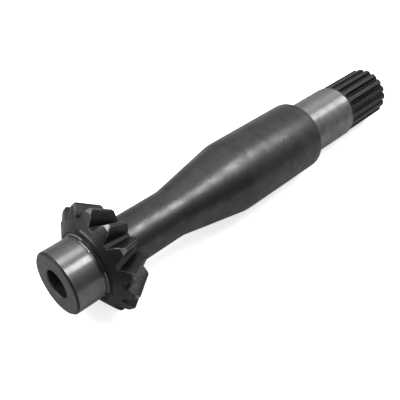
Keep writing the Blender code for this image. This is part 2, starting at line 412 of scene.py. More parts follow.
# Drilled hole with a film of old oil and dust, which greys what light falls in.
OILY_BORE = SteelFinish(
    "drilled_oily_steel", "#3A3A3A", "#141414", 0.5, patch_mm=1.6, lay_mm=0.8, lay_depth_mm=0.01,
    lay_contrast=0.4, grain_mm=0.5, grain_depth_mm=0.006, metallic=0.8,
)
# Tops of the spline's lobes, turned and phosphated: dark grey with a soft gloss.
SPLINE_LAND = replace(
    PAINTED_ROOT_HIGHLIGHT, name="phosphated_spline_steel", colour="#484848", stain="#3E3E3E", patch_mm=6.0
)
# Grooves of the spline, cut by a hob: nearly black, a painted shade in the grooves.
PAINTED_GROOVE_SHADE = SteelFinish("groove_shade_steel", "#2E2E2E", "#242424", 0.42)


class Zone(Enum):
    """Where on the shaft a face lies, which settles its finish."""

    BORE = OILY_BORE
    END_FACE = FACED_END
    CHAMFER = DARK_CHAMFER
    SEAT = GROUND_SEAT
    REAR_SEAT = LIGHTER_COPY_GROUND_SEAT
    SEAT_END_GLINT = PAINTED_SEAT_END_HIGHLIGHT
    DEEP_SHADE = PAINTED_RECESS_SHADE
    LIP_GLINT = PAINTED_LIP_HIGHLIGHT
    HUB_RIM = PAINTED_RIM_HIGHLIGHT_AND_SHADE
    CONE = TURNED_CONE
    BODY = PHOSPHATED_BODY
    FLANK = PHOSPHATED_TOOTH
    ROOT = PAINTED_ROOT_HIGHLIGHT
    EDGE = BARE_EDGE_AND_GLINT
    LAND = SPLINE_LAND
    GROOVE = PAINTED_GROOVE_SHADE


@dataclass(frozen=True)
class Ring:
    """One ring of the skin.

    Attributes:
        points: The ring's points in millimetres, anticlockwise as seen from the splined end.
        zones: The zone of each face in the band that leads up to this ring.
    """

    points: list[Vector]
    zones: list[Zone]


def circle(radius: float, z: float, zone: Zone | list[Zone]) -> Ring:
    """Make a plain ring.

    Args:
        radius: Its radius.
        z: Its place along the axis.
        zone: The zone of the band that leads up to it, or one for each column.

    Returns:
        The ring.
    """
    turns = (2 * pi * column / COLUMNS for column in range(COLUMNS))
    zones = zone if isinstance(zone, list) else [zone] * COLUMNS
    return Ring([Vector((radius * cos(a), radius * sin(a), z)) for a in turns], zones)


def on_arcs(plain: Zone, other: Zone, *arcs: tuple[float, float]) -> list[Zone]:
    """Zones of a band that changes on arcs, in degrees from the upper side towards the camera."""
    turns = ((360 * column / COLUMNS + 180) % 360 - 180 for column in range(COLUMNS))
    return [other if any(start <= turn <= end for start, end in arcs) else plain for turn in turns]


def rounded(
    centre: tuple[float, float], radius: float, start: float, end: float, steps: int, zone: Zone
) -> list[Ring]:
    """Rings of a round corner about (radius, z), between two angles from straight out, ends included."""
    angles = (start + (end - start) * i / steps for i in range(steps + 1))
    return [circle(centre[0] + radius * cos(a), centre[1] + radius * sin(a), zone) for a in angles]


def mirrored_round(
    half: list[tuple[float, float]], pitch: float, repeats: int
) -> list[tuple[float, float]]:
    """Repeat half of a space's outline on both sides, and all the way round.

    Args:
        half: (radius, angle) from the middle of a space to the middle of a tooth, both included.
        pitch: The angle from one space to the next.
        repeats: The number of spaces.

    Returns:
        (radius, angle) of every column.
    """
    middle = len(half) - 1
    outline = []
    for k in range(repeats):
        outline += [(r, k * pitch + a) for r, a in half]
        outline += [(half[i][0], (k + 1) * pitch - half[i][1]) for i in range(middle - 1, 0, -1)]
    return outline


def mirrored_zones(half: list[Zone], repeats: int) -> list[Zone]:
    """Repeat the zones of half a space on both sides, and all the way round."""
    return (half + half[::-1]) * repeats


def between(first: list[Vector], second: list[Vector], share: float) -> list[Vector]:
    """Points that lie this share of the way from one ring's points to another's."""
    return [a.lerp(b, share) for a, b in zip(first, second)]


def drawn_in(points: list[Vector], distance: float) -> list[Vector]:
    """Move a ring's points into the metal, square to the ring's own line.

    Args:
        points: The ring's points.
        distance: How far they move, in millimetres.

    Returns:
        The moved points, at their old places along the axis.
    """
    moved = []
    for i, point in enumerate(points):
        run = points[(i + 1) % COLUMNS] - points[i - 1]
        inward = Vector((-run.y, run.x, 0.0)).normalized()
        moved.append(point + inward * distance)
    return moved


@dataclass(frozen=True)
class NoseJournal:
    """The short ground seat in front of the gear, with the blind hole in its face.

    Attributes:
        radius: Radius of the seat.
        length: Its length, to the undercut.
        end_chamfer: Chamfer round the nose face.
        seat_edge: Break of the edge at the undercut.
        undercut_depth: Depth of the undercut.
        lip_step: How far the sloping lip in front of the shoulder starts outside the seat.
        lip_height: How far outside the seat it ends.
        lip_width: Its width along the axis.
        lip_glint_arcs: Where the lip has a painted highlight, in degrees from the upper side towards the
            camera.
        glint_width: Width of the painted highlight line at the seat's end.
        glint_arc: Where that line runs, in the same degrees.
        bore_radius: Radius of the blind hole.
        bore_depth: Depth of its straight part.
        mouth_chamfer: Chamfer of its mouth.
        drill_point: Angle of its drilled bottom.
    """

    radius: float = 20.0
    length: float = 19.3
    end_chamfer: float = 1.1
    seat_edge: float = 0.15
    undercut_depth: float = 1.5
    lip_step: float = 0.2
    lip_height: float = 1.0
    lip_width: float = 0.75
    lip_glint_arcs: tuple[tuple[float, float], ...] = ((-70.0, -8.0), (56.0, 100.0))
    glint_width: float = 0.8
    glint_arc: tuple[float, float] = (-12.0, 16.0)
    bore_radius: float = 9.0
    bore_depth: float = 46.0
    mouth_chamfer: float = 0.7
    drill_point: float = radians(118.0)

    @property
    def bore_bottom(self) -> Vector:
        """The tip of the hole's drilled bottom."""
        return Vector((0.0, 0.0, self.bore_depth + self.bore_radius / tan(self.drill_point / 2)))

    def rings(self, shoulder_z: float, shoulder_radius: float) -> list[Ring]:
        """Run the skin from the bottom of the hole to the gear's shoulder.

        Args:
            shoulder_z: Where the gear's shoulder stands.
            shoulder_radius: Outer radius of the shoulder's flat.

        Returns:
            The rings.
        """
        bore, mouth = self.bore_radius, self.bore_radius + self.mouth_chamfer
        neck = self.radius - self.undercut_depth
        seat_end = self.length - self.seat_edge
        # The seat's end carries a painted highlight on one arc.
        glinting_end = on_arcs(Zone.SEAT, Zone.SEAT_END_GLINT, self.glint_arc)
        # The lip carries painted highlights on two arcs and painted shade elsewhere.
        glinting_lip = on_arcs(Zone.DEEP_SHADE, Zone.LIP_GLINT, *self.lip_glint_arcs)
        lip_z = shoulder_z - self.lip_width
        steps = [
            (bore, self.bore_depth, Zone.BORE),
            (bore, self.bore_depth / 2, Zone.BORE),
            (bore, self.mouth_chamfer, Zone.BORE),
            (mouth, 0.0, Zone.END_FACE),
            ((mouth + self.radius) / 2, 0.0, Zone.END_FACE),
            (self.radius - self.end_chamfer, 0.0, Zone.END_FACE),
            (self.radius, self.end_chamfer, Zone.CHAMFER),
            (self.radius, self.length / 2, Zone.SEAT),
            (self.radius, seat_end - self.glint_width, Zone.SEAT),
            (self.radius, seat_end, glinting_end),
            (self.radius - self.seat_edge, self.length, glinting_end),
            # The undercut and the shoulder's flat take painted shade.
            (neck, self.length, Zone.DEEP_SHADE),
            (neck, lip_z, Zone.DEEP_SHADE),
            (self.radius + self.lip_step, lip_z, Zone.DEEP_SHADE),
            (self.radius + self.lip_height, shoulder_z, glinting_lip),
            (shoulder_radius, shoulder_z, Zone.DEEP_SHADE),
        ]
        return [circle(*step) for step in steps]


@dataclass(frozen=True)
class BevelPinion:
    """The pinion: its hub, its front cone, and straight teeth that shrink towards one point on the axis.

    Attributes:
        module: Pitch diameter over the number of teeth, at the big end.
        pressure_angle: Slope of the flank at the pitch circle.
        shift: Profile shift, in modules.
        cone_angle: Slope of the front cone.
        addendum: Height of a tooth over its pitch circle, along the cone.
        dedendum: Depth of a space under it.
        root_fillet: Radius between flank and root.
        big_end_chamfer: Turned chamfer of the tooth tips at the big end.
        small_end_chamfer: The same at the small end.
        pitch_z: Place of the pitch circle along the axis.
        apex_z: Place of the point that the teeth shrink to.
        small_end_z: Place of the flat face behind the teeth.
        hub_radius: Outer radius of the shoulder in front.
        hub_edge: Chamfer round that shoulder.
        shaded_arc: Where that chamfer is painted dark as shade, in degrees from the upper side towards the
            camera.
        rim_width: Width of the band outside that chamfer that carries a painted highlight.
        rim_arc: Where that band runs, in the same degrees.
        edge_break: Width of the deburred tooth edges.
        heel_setback: How far behind the front cone the tips reach their full width, in chamfer widths.
        worn_share: Share of the big end's chamfer that has the edges' finish, rubbed bare and lighter as a
            painted highlight.
        kept_share: Share of the small end's chamfer that kept its phosphate.
        stations: Bands along a tooth.
    """

    module: float = 4.6
    pressure_angle: float = radians(25.0)
    shift: float = 0.1
    cone_angle: float = radians(33.7)
    addendum: float = 5.2
    dedendum: float = 4.4
    root_fillet: float = 1.0
    big_end_chamfer: float = 2.2
    small_end_chamfer: float = 0.6
    pitch_z: float = 26.2
    apex_z: float = 86.0
    small_end_z: float = 44.2
    hub_radius: float = 23.4
    hub_edge: float = 1.2
    shaded_arc: tuple[float, float] = (-25.0, 100.0)
    rim_width: float = 1.0
    rim_arc: tuple[float, float] = (-15.0, 42.0)
    edge_break: float = 0.28
    heel_setback: float = 0.6
    worn_share: float = 0.1
    kept_share: float = 0.6
    stations: int = 8

    @property
    def pitch(self) -> float:
        """The angle from one tooth to the next."""
        return 2 * pi / TEETH

    @property
    def pitch_radius(self) -> float:
        """Radius of the pitch circle at the big end."""
        return self.module * TEETH / 2

    @property
    def tip_radius(self) -> float:
        """Radius of the sharp tooth tips at the big end, with no chamfer."""
        return self.pitch_radius + self.addendum * cos(self.cone_angle)

    @property
    def root_radius(self) -> float:
        """Radius of the bottoms of the spaces at the big end."""
        return self.pitch_radius - self.dedendum * cos(self.cone_angle)

    @property
    def heel_z(self) -> float:
        """Place along the axis of the tips' widest points, just behind the chamfer of the big end."""
        return self.cone_z(self.tip_radius) + self.heel_setback * self.big_end_chamfer

    def cone_z(self, radius: float) -> float:
        """Place along the axis of the front cone at a radius."""
        return self.pitch_z + (radius - self.pitch_radius) * tan(self.cone_angle)

    def half_tooth(self, radius: float) -> float:
        """Work out half the angle that a tooth takes up on the front cone.

        The flank is an involute on the cone rolled out flat.

        Args:
            radius: The distance from the axis.

        Returns:
            The angle in radians.
        """
        rolled_base = self.pitch_radius * cos(self.pressure_angle)
        at_radius = acos(min(1.0, rolled_base / radius))
        at_pitch = (pi / 2 + 2 * self.shift * tan(self.pressure_angle)) / TEETH
        narrowing = (tan(at_radius) - at_radius) - (tan(self.pressure_angle) - self.pressure_angle)
        return at_pitch - narrowing / cos(self.cone_angle)

    def half_space(self, cap: float) -> list[tuple[float, float]]:
        """Draw half a tooth space on the front cone.

        Args:
            cap: Radius at which the teeth end.

        Returns:
            (radius, angle) from the middle of the space to the middle of the tooth.
        """
        fillet_top = self.root_radius + self.root_fillet
        fillet_angle = self.pitch / 2 - self.half_tooth(fillet_top)
        land = fillet_angle - self.root_fillet / self.root_radius
        half = [(self.root_radius, land * i / 2) for i in range(3)]
        for turn in (3 * pi / 8, pi / 4, pi / 8, 0.0):
            inset = self.root_fillet * (1 - cos(turn)) / self.root_radius
            half.append((fillet_top - self.root_fillet * sin(turn), fillet_angle - inset))
        flank_end = cap - self.edge_break
        for i in range(1, 9):
            r = fillet_top + (flank_end - fillet_top) * i / 8
            half.append((r, self.pitch / 2 - self.half_tooth(r)))
        corner = self.pitch / 2 - self.half_tooth(cap) + self.edge_break / cap
        half += [(cap, corner + (self.pitch / 2 - corner) * i / 3) for i in range(4)]
        return half

    def outline(self, cap: float) -> list[tuple[float, float]]:
        """Outline of all the teeth on the front cone, as (radius, angle), cut off at a radius."""
        return mirrored_round(self.half_space(cap), self.pitch, TEETH)

    def on_cone(self, radius: float, angle: float, shrink: float = 1.0) -> Vector:
        """Place a point of the front cone, drawn towards the apex.

        Args:
            radius: Its distance from the axis on the cone.
            angle: Its angle round the axis.
            shrink: Share of its distance from the apex that is left.

        Returns:
            The point.
        """
        r = radius * shrink
        z = self.apex_z - (self.apex_z - self.cone_z(radius)) * shrink
        return Vector((r * cos(angle), r * sin(angle), z))

    def shrink_at(self, radius: float, z: float) -> float:
        """Share by which a point of the front cone is drawn in, once it reaches a place along the axis."""
        return (self.apex_z - z) / (self.apex_z - self.cone_z(radius))

    def cap_for(self, radius: float, z: float) -> float:
        """Find the radius on the front cone of a point that lies elsewhere.

        Args:
            radius: Where the point lies, from the axis.
            z: Where it lies along the axis.

        Returns:
            The radius at which its line from the apex meets the front cone.
        """
        slope = tan(self.cone_angle)
        reach = self.apex_z - z
        height = self.apex_z - self.pitch_z + self.pitch_radius * slope
        return radius * height / (reach + radius * slope)

    def band_zones(self) -> list[Zone]:
        """Zones of a band that crosses the teeth, one for each column."""
        # The root's bar is a painted highlight; the edge column is rubbed bare and partly a painted
        # highlight.
        half = [Zone.ROOT] * 2 + [Zone.FLANK] * 12 + [Zone.EDGE] + [Zone.BODY] * 3
        return mirrored_zones(half, TEETH)

    def rings(self, neck_radius: float) -> list[Ring]:
        """Run the skin from the hub over the teeth to the face behind them, in to the neck's fillet."""
        return self._front() + self._teeth() + self._behind(neck_radius)

    def _big_end(self) -> list[Vector]:
        """Points of the tooth outline on the front cone, cut off where the chamfer starts."""
        cap = self.tip_radius - self.big_end_chamfer * cos(self.cone_angle)
        return [self.on_cone(r, a) for r, a in self.outline(cap)]

    def _behind_chamfer(self) -> list[Vector]:
        """Points of the full outline, just behind the chamfer of the tips."""
        shrink = self.shrink_at(self.tip_radius, self.heel_z)
        return [self.on_cone(r, a, shrink) for r, a in self.outline(self.tip_radius)]

    def _small_end(self) -> tuple[list[Vector], list[Vector]]:
        """Draw the outline at the small end.

        Returns:
            The outline's points before the chamfer there, and those on the flat face.
        """
        full_z = self.small_end_z - self.small_end_chamfer
        before = [
            self.on_cone(r, a, self.shrink_at(r, full_z)) for r, a in self.outline(self.tip_radius)
        ]
        tip = self.tip_radius * self.shrink_at(self.tip_radius, self.small_end_z)
        cap = self.cap_for(tip - self.small_end_chamfer, self.small_end_z)
        flat = [self.on_cone(r, a, self.shrink_at(r, self.small_end_z)) for r, a in self.outline(cap)]
        return before, flat

    def _front(self) -> list[Ring]:
        """Run the skin over the hub's edge and the front cone, up to the deburred edge of the teeth.

        Returns:
            The rings.
        """
        outer = self.hub_radius + self.hub_edge * cos(self.cone_angle)
        # Painted shade darkens the hub's edge on one arc.
        hub = circle(outer, self.cone_z(outer), on_arcs(Zone.CONE, Zone.DEEP_SHADE, self.shaded_arc))
        rim_radius = outer + self.rim_width
        # The band outside it carries a painted highlight on one arc.
        rim = circle(rim_radius, self.cone_z(rim_radius), on_arcs(Zone.CONE, Zone.HUB_RIM, self.rim_arc))
        edge = [self._back_on_cone(p) for p in drawn_in(self._big_end(), self.edge_break)]
        plain = [Zone.CONE] * COLUMNS
        cone = [Ring(between(rim.points, edge, share), plain) for share in (0.3, 0.65, 1.0)]
        return [hub, rim, *cone]

    def _back_on_cone(self, point: Vector) -> Vector:
        """Set a point's place along the axis to that of the front cone."""
        return Vector((point.x, point.y, self.cone_z(point.xy.length)))

    def _teeth(self) -> list[Ring]:
        """Run the skin along the teeth, from the big end's edge to the small end's.

        Returns:
            The rings.
        """
        big, full = self._big_end(), self._behind_chamfer()
        before, flat = self._small_end()
        zones = self.band_zones()
        # Near the tips, the upper flanks take the edges' finish, partly a painted highlight.
        edge = mirrored_zones([Zone.FLANK] * 11 + [Zone.EDGE] * 7, TEETH)
        chamfer = [Zone.EDGE if zone in (Zone.BODY, Zone.EDGE) else zone for zone in zones]
        rings = [Ring(between(big, full, self.worn_share), edge), Ring(full, chamfer)]
        for i in range(1, self.stations + 1):
            rings.append(Ring(between(full, before, i / self.stations), zones))
        rings.append(Ring(between(before, flat, self.kept_share), zones))
        rings.append(Ring(drawn_in(flat, self.edge_break), edge))
        return rings

    def _behind(self, neck_radius: float) -> list[Ring]:
        """Run the skin over the flat face behind the teeth.

        Args:
            neck_radius: Where that face meets the fillet of the neck.

        Returns:
            The rings.
        """
        rim = drawn_in(self._small_end()[1], self.edge_break)
        inner = circle(neck_radius, self.small_end_z, Zone.BODY)
        return [Ring(between(rim, inner.points, share), inner.zones) for share in (0.5, 1.0)]


@dataclass(frozen=True)
class TaperedBody:
    """The slim neck behind the gear, the straight taper and the barrel.

    Attributes:
        neck_radius: Radius of the neck.
        shoulder_radius: Outer radius of the neck's fillet, on the gear.
        neck_end_z: Where the neck's line meets the taper's.
        barrel_start_z: Where the taper's line meets the barrel's.
        blend_radius: Radius of the blend at both places.
        barrel_radius: Radius of the barrel.
        barrel_end_z: Place of the shoulder at its far end.
        edge_radius: Rounding of its far edge.
    """

    neck_radius: float = 16.0
    shoulder_radius: float = 18.4
    neck_end_z: float = 85.4
    barrel_start_z: float = 137.6
    blend_radius: float = 35.0
    barrel_radius: float = 25.5
    barrel_end_z: float = 213.0
    edge_radius: float = 3.6

    def rings(self, gear_z: float) -> list[Ring]:
        """Run the skin from the face behind the teeth to the far edge of the barrel.

        Args:
            gear_z: Place of that face.

        Returns:
            The rings.
        """
        fillet = self.shoulder_radius - self.neck_radius
        slope = atan2(self.barrel_radius - self.neck_radius, self.barrel_start_z - self.neck_end_z)
        blend, tangent = self.blend_radius, self.blend_radius * tan(slope / 2)
        edge = self.edge_radius
        rings = rounded((self.shoulder_radius, gear_z + fillet), fillet, 3 * pi / 2, pi, 8, Zone.BODY)[1:]
        neck = (self.neck_radius + blend, self.neck_end_z - tangent)
        rings += rounded(neck, blend, pi, pi - slope, 5, Zone.BODY)
        barrel = (self.barrel_radius - blend, self.barrel_start_z + tangent)
        rings += rounded(barrel, blend, -slope, 0.0, 5, Zone.BODY)
        far = (self.barrel_radius - edge, self.barrel_end_z - edge)
        rings += rounded(far, edge, 0.0, pi / 2, 8, Zone.BODY)
        return rings


@dataclass(frozen=True)
class RearJournal:
    """The ground seat between the barrel and the spline.

    Attributes:
        radius: Radius of the seat.
        end_z: Its far end.
        chamfer: Chamfer of that end.
        fillet: Radius in the corner at the barrel.
    """

    radius: float = 20.0
    end_z: float = 259.2
    chamfer: float = 0.5
    fillet: float = 0.8

    def rings(self, shoulder_z: float, spline_radius: float) -> list[Ring]:
        """Run the skin from the barrel's shoulder to the start of the spline.

        Args:
            shoulder_z: Place of the barrel's shoulder.
            spline_radius: Outer radius of the spline.

        Returns:
            The rings.
        """
        corner = (self.radius + self.fillet, shoulder_z + self.fillet)
        # The barrel's end face and its corner with the seat take painted shade.
        rings = rounded(corner, self.fillet, 3 * pi / 2, pi, 4, Zone.DEEP_SHADE)
        rings.append(circle(self.radius, self.end_z - self.chamfer, Zone.REAR_SEAT))
        rings.append(circle(self.radius - self.chamfer, self.end_z, Zone.REAR_SEAT))
        rings.append(circle(spline_radius, self.end_z, Zone.LAND))
        return rings


@dataclass(frozen=True)
class SplinedEnd:
    """The external spline, its grooves running out of the metal just short of the journal.

    Attributes:
        tip_radius: Outer radius.
        depth: Depth of a groove.
        groove_share: Share of the pitch that a groove takes up at the outside.
        root_share: The same at its bottom.
        run_out: Length over which a groove comes up.
        start_gap: Plain length between the journal and the grooves.
        start_band: Width of the last band of that length.
        end_z: Place of the end face.
        end_chamfer: Chamfer of that end.
        face_inset: How far inside the grooves the round part of the end face lies.
        edge_break: Width of the worn corners of the lobes.
    """

    tip_radius: float = 19.4
    depth: float = 2.1
    groove_share: float = 0.56
    root_share: float = 0.26
    run_out: float = 5.0
    start_gap: float = 1.4
    start_band: float = 0.35
    end_z: float = 306.0
    end_chamfer: float = 1.3
    face_inset: float = 2.0
    edge_break: float = 0.2

    @property
    def pitch(self) -> float:
        """The angle from one groove to the next."""
        return 2 * pi / LOBES

    def half_groove(self, cap: float, rise: float) -> list[tuple[float, float]]:
        """Draw half a groove and half a lobe.

        The groove's bottom is flat in the middle and curves up into the flank over its lowest quarter.

        Args:
            cap: Outer radius here.
            rise: How far the groove's bottom has come up.

        Returns:
            (radius, angle) from the middle of the groove to the middle of the lobe.
        """
        root = self.tip_radius - self.depth + rise
        height = max(0.0, cap - root)
        half_root = self.pitch * self.root_share / 2
        spread = self.pitch * (self.groove_share - self.root_share) / 2 / self.depth
        worn = min(self.edge_break, 0.3 * height)
        half = [(root, 0.0), (root, 0.45 * half_root), (root + 0.12 * height, 0.9 * half_root)]
        for i in range(7):
            up = 0.25 * height + (0.75 * height - worn) * i / 6
            half.append((root + up, half_root + spread * up))
        corner = half_root + spread * height + worn / cap
        half += [(cap, corner + (self.pitch / 2 - corner) * i / 4) for i in range(5)]
        return half

    def section(self, z: float, cap: float | None = None, rise: float = 0.0) -> list[Vector]:
        """Points of the spline's outline at one place.

        Args:
            z: The place along the axis.
            cap: Outer radius there, if not the spline's own.
            rise: How far the grooves' bottoms have come up.

        Returns:
            The points.
        """
        half = self.half_groove(cap or self.tip_radius, rise)
        outline = mirrored_round(half, self.pitch, LOBES)
        return [Vector((r * cos(a), r * sin(a), z)) for r, a in outline]

    def rings(self, start_z: float) -> list[Ring]:
        """Run the skin from the journal's end to the middle of the end face.

        Args:
            start_z: The journal's end.

        Returns:
            The rings.
        """
        # The grooves take painted shade.
        half = [Zone.GROOVE] * 9 + [Zone.LAND] * 5
        zones = mirrored_zones(half, LOBES)
        run_end = start_z + self.start_gap
        plain = [Zone.LAND] * COLUMNS
        rings = [Ring(self.section(run_end - self.start_band, rise=self.depth), plain)]
        for along, up in ((0.0, 0.75), (0.25, 0.5), (0.5, 0.3), (0.75, 0.12), (1.0, 0.0)):
            rings.append(Ring(self.section(run_end + along * self.run_out, rise=up * self.depth), zones))
        chamfer_z = self.end_z - self.end_chamfer
        for share in (0.33, 0.66, 1.0):
            z = run_end + self.run_out + (chamfer_z - run_end - self.run_out) * share
            rings.append(Ring(self.section(z), zones))
        end = self.section(self.end_z, self.tip_radius - self.end_chamfer)
        rings.append(Ring(end, zones))
        inner = circle(self.tip_radius - self.depth - self.face_inset, self.end_z, Zone.END_FACE)
        rings.append(Ring(between(end, inner.points, 0.5), inner.zones))
        rings += [inner, circle(inner.points[0].x / 2, self.end_z, Zone.END_FACE)]
        return rings


@dataclass
class PinionShaft:
    """The whole shaft, one closed skin over its five lengths.

    Attributes:
        nose: The nose journal with its hole.
        pinion: The gear.
        body: Neck, taper and barrel.
        journal: The rear journal.
        spline: The splined end.
    """

    nose: NoseJournal = field(default_factory=NoseJournal)
    pinion: BevelPinion = field(default_factory=BevelPinion)
    body: TaperedBody = field(default_factory=TaperedBody)
    journal: RearJournal = field(default_factory=RearJournal)
    spline: SplinedEnd = field(default_factory=SplinedEnd)

    def rings(self) -> list[Ring]:
        """Join the rings of all lengths, from the bottom of the hole to the end face.

        Returns:
            The rings in order.
        """
        pinion, body, journal = self.pinion, self.body, self.journal
        shoulder_z = pinion.cone_z(pinion.hub_radius)
        rings = self.nose.rings(shoulder_z, pinion.hub_radius - pinion.hub_edge)
        rings += pinion.rings(body.shoulder_radius)
        rings += body.rings(pinion.small_end_z)
        rings += journal.rings(body.barrel_end_z, self.spline.tip_radius)
        return rings + self.spline.rings(journal.end_z)

    def build(self) -> bpy.types.Object:
        """Make the shaft's skin, dress it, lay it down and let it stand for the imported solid.

        Returns:
            The shaft.
        """
        rings = self.rings()
        places = [point for ring in rings for point in ring.points]
        places += [self.nose.bore_bottom, Vector((0.0, 0.0, self.spline.end_z))]
        faces, zones = self._faces(rings)
        mesh = bpy.data.meshes.new("pinion_shaft_skin")
        turn = self._lying()
        laid = [turn @ (place * MM) for place in places]
        mesh.from_pydata(laid, [], faces)
        order = list(Zone)
        for zone in order:
            mesh.materials.append(zone.value.build())
        mesh.polygons.foreach_set("material_index", [order.index(zone) for zone in zones])
        mesh.shade_smooth()
        mesh.set_sharp_from_angle(angle=SHARP_CORNER)
        self._note(mesh, SHAFT_PLACE, [place * MM for place in places])
        self._note(mesh, ACROSS_LAY, [turn.to_3x3() @ Vector((0.0, 0.0, 1.0))] * len(places))
        shaft = bpy.data.objects.new("pinion_shaft_skin", mesh)
        bpy.context.scene.collection.objects.link(shaft)
        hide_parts("pinion_shaft")
        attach(shaft, "root")
        LOG.info("shaft: %d rings, %d faces, %d finishes", len(rings), len(faces), len(order))
        return shaft

    @staticmethod
    def _faces(rings: list[Ring]) -> tuple[list[tuple[int, ...]], list[Zone]]:
        """Join each ring to the next, and close both ends.

        Args:
            rings: All rings in order.

        Returns:
            The faces as vertex numbers, and the zone of each.
        """
        faces: list[tuple[int, ...]] = []
        zones: list[Zone] = []
        for k in range(1, len(rings)):
            low, high = (k - 1) * COLUMNS, k * COLUMNS
            for j in range(COLUMNS):
                after = (j + 1) % COLUMNS
                faces.append((low + j, low + after, high + after, high + j))
                zones.append(rings[k].zones[j])
        bottom = len(rings) * COLUMNS
        last = (len(rings) - 1) * COLUMNS
        for j in range(COLUMNS):
            after = (j + 1) % COLUMNS
            faces += [(bottom, after, j), (last + j, last + after, bottom + 1)]
            zones += [rings[0].zones[j], rings[-1].zones[j]]
        return faces, zones

    def rest_tilt(self) -> float:
        """Work out how far the axis drops towards the spline, lying on two teeth and the barrel's far edge.

        The barrel's round edge touches at a point that moves with the tilt, so each round uses the last tilt.

        Returns:
            The angle in radians.
        """
        pinion, body = self.pinion, self.body
        heel_radius = pinion.tip_radius * pinion.shrink_at(pinion.tip_radius, pinion.heel_z)
        gear_drop = heel_radius * cos(pinion.pitch / 2 - pinion.half_tooth(pinion.tip_radius))
        edge = body.edge_radius
        tilt = 0.0
        for _ in range(8):
            touch_z = body.barrel_end_z - edge + edge * sin(tilt)
            touch_drop = body.barrel_radius - edge + edge * cos(tilt)
            tilt = (gear_drop - touch_drop) / (touch_z - pinion.heel_z)
        return tilt

    def _lying(self) -> Matrix:
        """Work out how the upright shaft is laid down: its axis along +X, tilted as it rests.

        Returns:
            The matrix from the shaft's own axes to the frame's.
        """
        tilt = self.rest_tilt()
        along = Vector((cos(tilt), 0.0, -sin(tilt)))
        up = Vector((sin(tilt), 0.0, cos(tilt)))
        turn = Matrix((up, along.cross(up), along)).transposed()
        corners = [turn @ (point * MM) for ring in self.rings() for point in ring.points]
        low = Vector([min(corner[i] for corner in corners) for i in range(3)])
        high = Vector([max(corner[i] for corner in corners) for i in range(3)])
        packed_low, packed_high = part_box("pinion_shaft")
        move = (packed_low + packed_high - low - high) / 2
        move.z = packed_low.z - low.z
        misfit = max(abs((high - low)[i] - (packed_high - packed_low)[i]) for i in range(3)) / MM
        LOG.info("shaft: lies at a tilt of %.2f degrees, %.2f mm off the packed box", tilt * 180 / pi, misfit)
        return Matrix.Translation(move) @ turn.to_4x4()

    @staticmethod
    def _note(mesh: bpy.types.Mesh, name: str, values: list[Vector]) -> None:
        """Store a vector for each point of the mesh, in the points' order, for the finishes to read."""
        noted = mesh.attributes.new(name, "FLOAT_VECTOR", "POINT")
        noted.data.foreach_set("vector", [number for value in values for number in value])


@dataclass(frozen=True)
class StripLight:
    """A long soft box over the shaft.

    Attributes:
        name: Which light it is.
        centre: Its middle, in metres.
        size: Its length along X and its width, in metres.
        watts: Its power.
        turn: Degrees by which its length is turned from X.
        aim: The point that it faces.
    """

    name: str
    centre: tuple[float, float, float]
    size: tuple[float, float]
    watts: float
    turn: float = 0.0
    aim: tuple[float, float, float] = (0.0, 0.0, 0.03)

    def build(self) -> bpy.types.Object:
        """Hang the light.

        Returns:
            The light.
        """
        data = bpy.data.lights.new(self.name, "AREA")
        data.shape = "RECTANGLE"
        data.size, data.size_y = self.size
        data.energy = self.watts
        light = bpy.data.objects.new(self.name, data)
        bpy.context.scene.collection.objects.link(light)
        back = (Vector(self.centre) - Vector(self.aim)).normalized()
        side = Vector((cos(radians(self.turn)), sin(radians(self.turn)), 0.0))
        side = (side - back * side.dot(back)).normalized()
        turn = Matrix((side, back.cross(side), back)).transposed().to_4x4()
        light.matrix_world = Matrix.Translation(self.centre) @ turn
        return light


